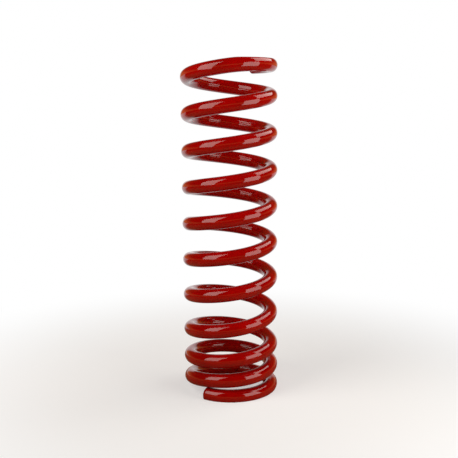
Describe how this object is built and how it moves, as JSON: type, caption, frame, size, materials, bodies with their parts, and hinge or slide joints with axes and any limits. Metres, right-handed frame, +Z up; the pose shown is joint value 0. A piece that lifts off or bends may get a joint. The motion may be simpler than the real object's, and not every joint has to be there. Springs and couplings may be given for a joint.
{
  "type": "coil spring",
  "caption": "Round-wire helical compression spring, right-hand wound, with closer lower coils and ground, level end coils, for a suspension strut.",
  "frame": {"origin": "on the spring's axis, in the plane that the ground lower end coil rests on", "axes": "+Z up the axis from the lower to the upper end; -Y towards the viewer and +X to the right, with the lower cut end 233.5 degrees anticlockwise from +X seen from above"},
  "size_m": [0.096, 0.096, 0.3348],
  "materials": {
    "red_powder_coat": "gloss"
  },
  "bodies": {
    "lower_end": {"lower_end_coil": "red_powder_coat", "coil_02_front": "red_powder_coat"},
    "coil_02_rear": {"coil_02_rear": "red_powder_coat"},
    "coil_03_front": {"coil_03_front": "red_powder_coat"},
    "coil_03_rear": {"coil_03_rear": "red_powder_coat"},
    "coil_04_front": {"coil_04_front": "red_powder_coat"},
    "coil_04_rear": {"coil_04_rear": "red_powder_coat"},
    "coil_05_front": {"coil_05_front": "red_powder_coat"},
    "coil_05_rear": {"coil_05_rear": "red_powder_coat"},
    "coil_06_front": {"coil_06_front": "red_powder_coat"},
    "coil_06_rear": {"coil_06_rear": "red_powder_coat"},
    "coil_07_front": {"coil_07_front": "red_powder_coat"},
    "coil_07_rear": {"coil_07_rear": "red_powder_coat"},
    "coil_08_front": {"coil_08_front": "red_powder_coat"},
    "coil_08_rear": {"coil_08_rear": "red_powder_coat"},
    "coil_09_front": {"coil_09_front": "red_powder_coat"},
    "coil_09_rear": {"coil_09_rear": "red_powder_coat"},
    "coil_10_front": {"coil_10_front": "red_powder_coat"},
    "coil_10_rear": {"coil_10_rear": "red_powder_coat"},
    "upper_end": {"upper_end_coil": "red_powder_coat"}
  },
  "joints": [
    {"name": "compression", "type": "slide", "parent": "lower_end", "child": "upper_end", "axis": [0, 0, -1], "range_m": [0, 0.14], "stiffness_N_per_m": 75000},
    {"name": "coil_02_rear_travel", "type": "slide", "parent": "lower_end", "child": "coil_02_rear", "axis": [0, 0, -1], "range_m": [0, 0.00257]},
    {"name": "coil_03_front_travel", "type": "slide", "parent": "lower_end", "child": "coil_03_front", "axis": [0, 0, -1], "range_m": [0, 0.00513]},
    {"name": "coil_03_rear_travel", "type": "slide", "parent": "lower_end", "child": "coil_03_rear", "axis": [0, 0, -1], "range_m": [0, 0.00877]},
    {"name": "coil_04_front_travel", "type": "slide", "parent": "lower_end", "child": "coil_04_front", "axis": [0, 0, -1], "range_m": [0, 0.01488]},
    {"name": "coil_04_rear_travel", "type": "slide", "parent": "lower_end", "child": "coil_04_rear", "axis": [0, 0, -1], "range_m": [0, 0.02318]},
    {"name": "coil_05_front_travel", "type": "slide", "parent": "lower_end", "child": "coil_05_front", "axis": [0, 0, -1], "range_m": [0, 0.03252]},
    {"name": "coil_05_rear_travel", "type": "slide", "parent": "lower_end", "child": "coil_05_rear", "axis": [0, 0, -1], "range_m": [0, 0.04198]},
    {"name": "coil_06_front_travel", "type": "slide", "parent": "lower_end", "child": "coil_06_front", "axis": [0, 0, -1], "range_m": [0, 0.05146]},
    {"name": "coil_06_rear_travel", "type": "slide", "parent": "lower_end", "child": "coil_06_rear", "axis": [0, 0, -1], "range_m": [0, 0.06092]},
    {"name": "coil_07_front_travel", "type": "slide", "parent": "lower_end", "child": "coil_07_front", "axis": [0, 0, -1], "range_m": [0, 0.07039]},
    {"name": "coil_07_rear_travel", "type": "slide", "parent": "lower_end", "child": "coil_07_rear", "axis": [0, 0, -1], "range_m": [0, 0.07987]},
    {"name": "coil_08_front_travel", "type": "slide", "parent": "lower_end", "child": "coil_08_front", "axis": [0, 0, -1], "range_m": [0, 0.08933]},
    {"name": "coil_08_rear_travel", "type": "slide", "parent": "lower_end", "child": "coil_08_rear", "axis": [0, 0, -1], "range_m": [0, 0.09881]},
    {"name": "coil_09_front_travel", "type": "slide", "parent": "lower_end", "child": "coil_09_front", "axis": [0, 0, -1], "range_m": [0, 0.10827]},
    {"name": "coil_09_rear_travel", "type": "slide", "parent": "lower_end", "child": "coil_09_rear", "axis": [0, 0, -1], "range_m": [0, 0.11775]},
    {"name": "coil_10_front_travel", "type": "slide", "parent": "lower_end", "child": "coil_10_front", "axis": [0, 0, -1], "range_m": [0, 0.12721]},
    {"name": "coil_10_rear_travel", "type": "slide", "parent": "lower_end", "child": "coil_10_rear", "axis": [0, 0, -1], "range_m": [0, 0.13361]}
  ],
  "couplings": [
    {"joint": "coil_02_rear_travel", "follows": "compression", "ratio": 0.0183},
    {"joint": "coil_03_front_travel", "follows": "compression", "ratio": 0.0366},
    {"joint": "coil_03_rear_travel", "follows": "compression", "ratio": 0.0626},
    {"joint": "coil_04_front_travel", "follows": "compression", "ratio": 0.1062},
    {"joint": "coil_04_rear_travel", "follows": "compression", "ratio": 0.1655},
    {"joint": "coil_05_front_travel", "follows": "compression", "ratio": 0.2322},
    {"joint": "coil_05_rear_travel", "follows": "compression", "ratio": 0.2998},
    {"joint": "coil_06_front_travel", "follows": "compression", "ratio": 0.3675},
    {"joint": "coil_06_rear_travel", "follows": "compression", "ratio": 0.4351},
    {"joint": "coil_07_front_travel", "follows": "compression", "ratio": 0.5027},
    {"joint": "coil_07_rear_travel", "follows": "compression", "ratio": 0.5704},
    {"joint": "coil_08_front_travel", "follows": "compression", "ratio": 0.638},
    {"joint": "coil_08_rear_travel", "follows": "compression", "ratio": 0.7057},
    {"joint": "coil_09_front_travel", "follows": "compression", "ratio": 0.7733},
    {"joint": "coil_09_rear_travel", "follows": "compression", "ratio": 0.841},
    {"joint": "coil_10_front_travel", "follows": "compression", "ratio": 0.9086},
    {"joint": "coil_10_rear_travel", "follows": "compression", "ratio": 0.9543}
  ]
}
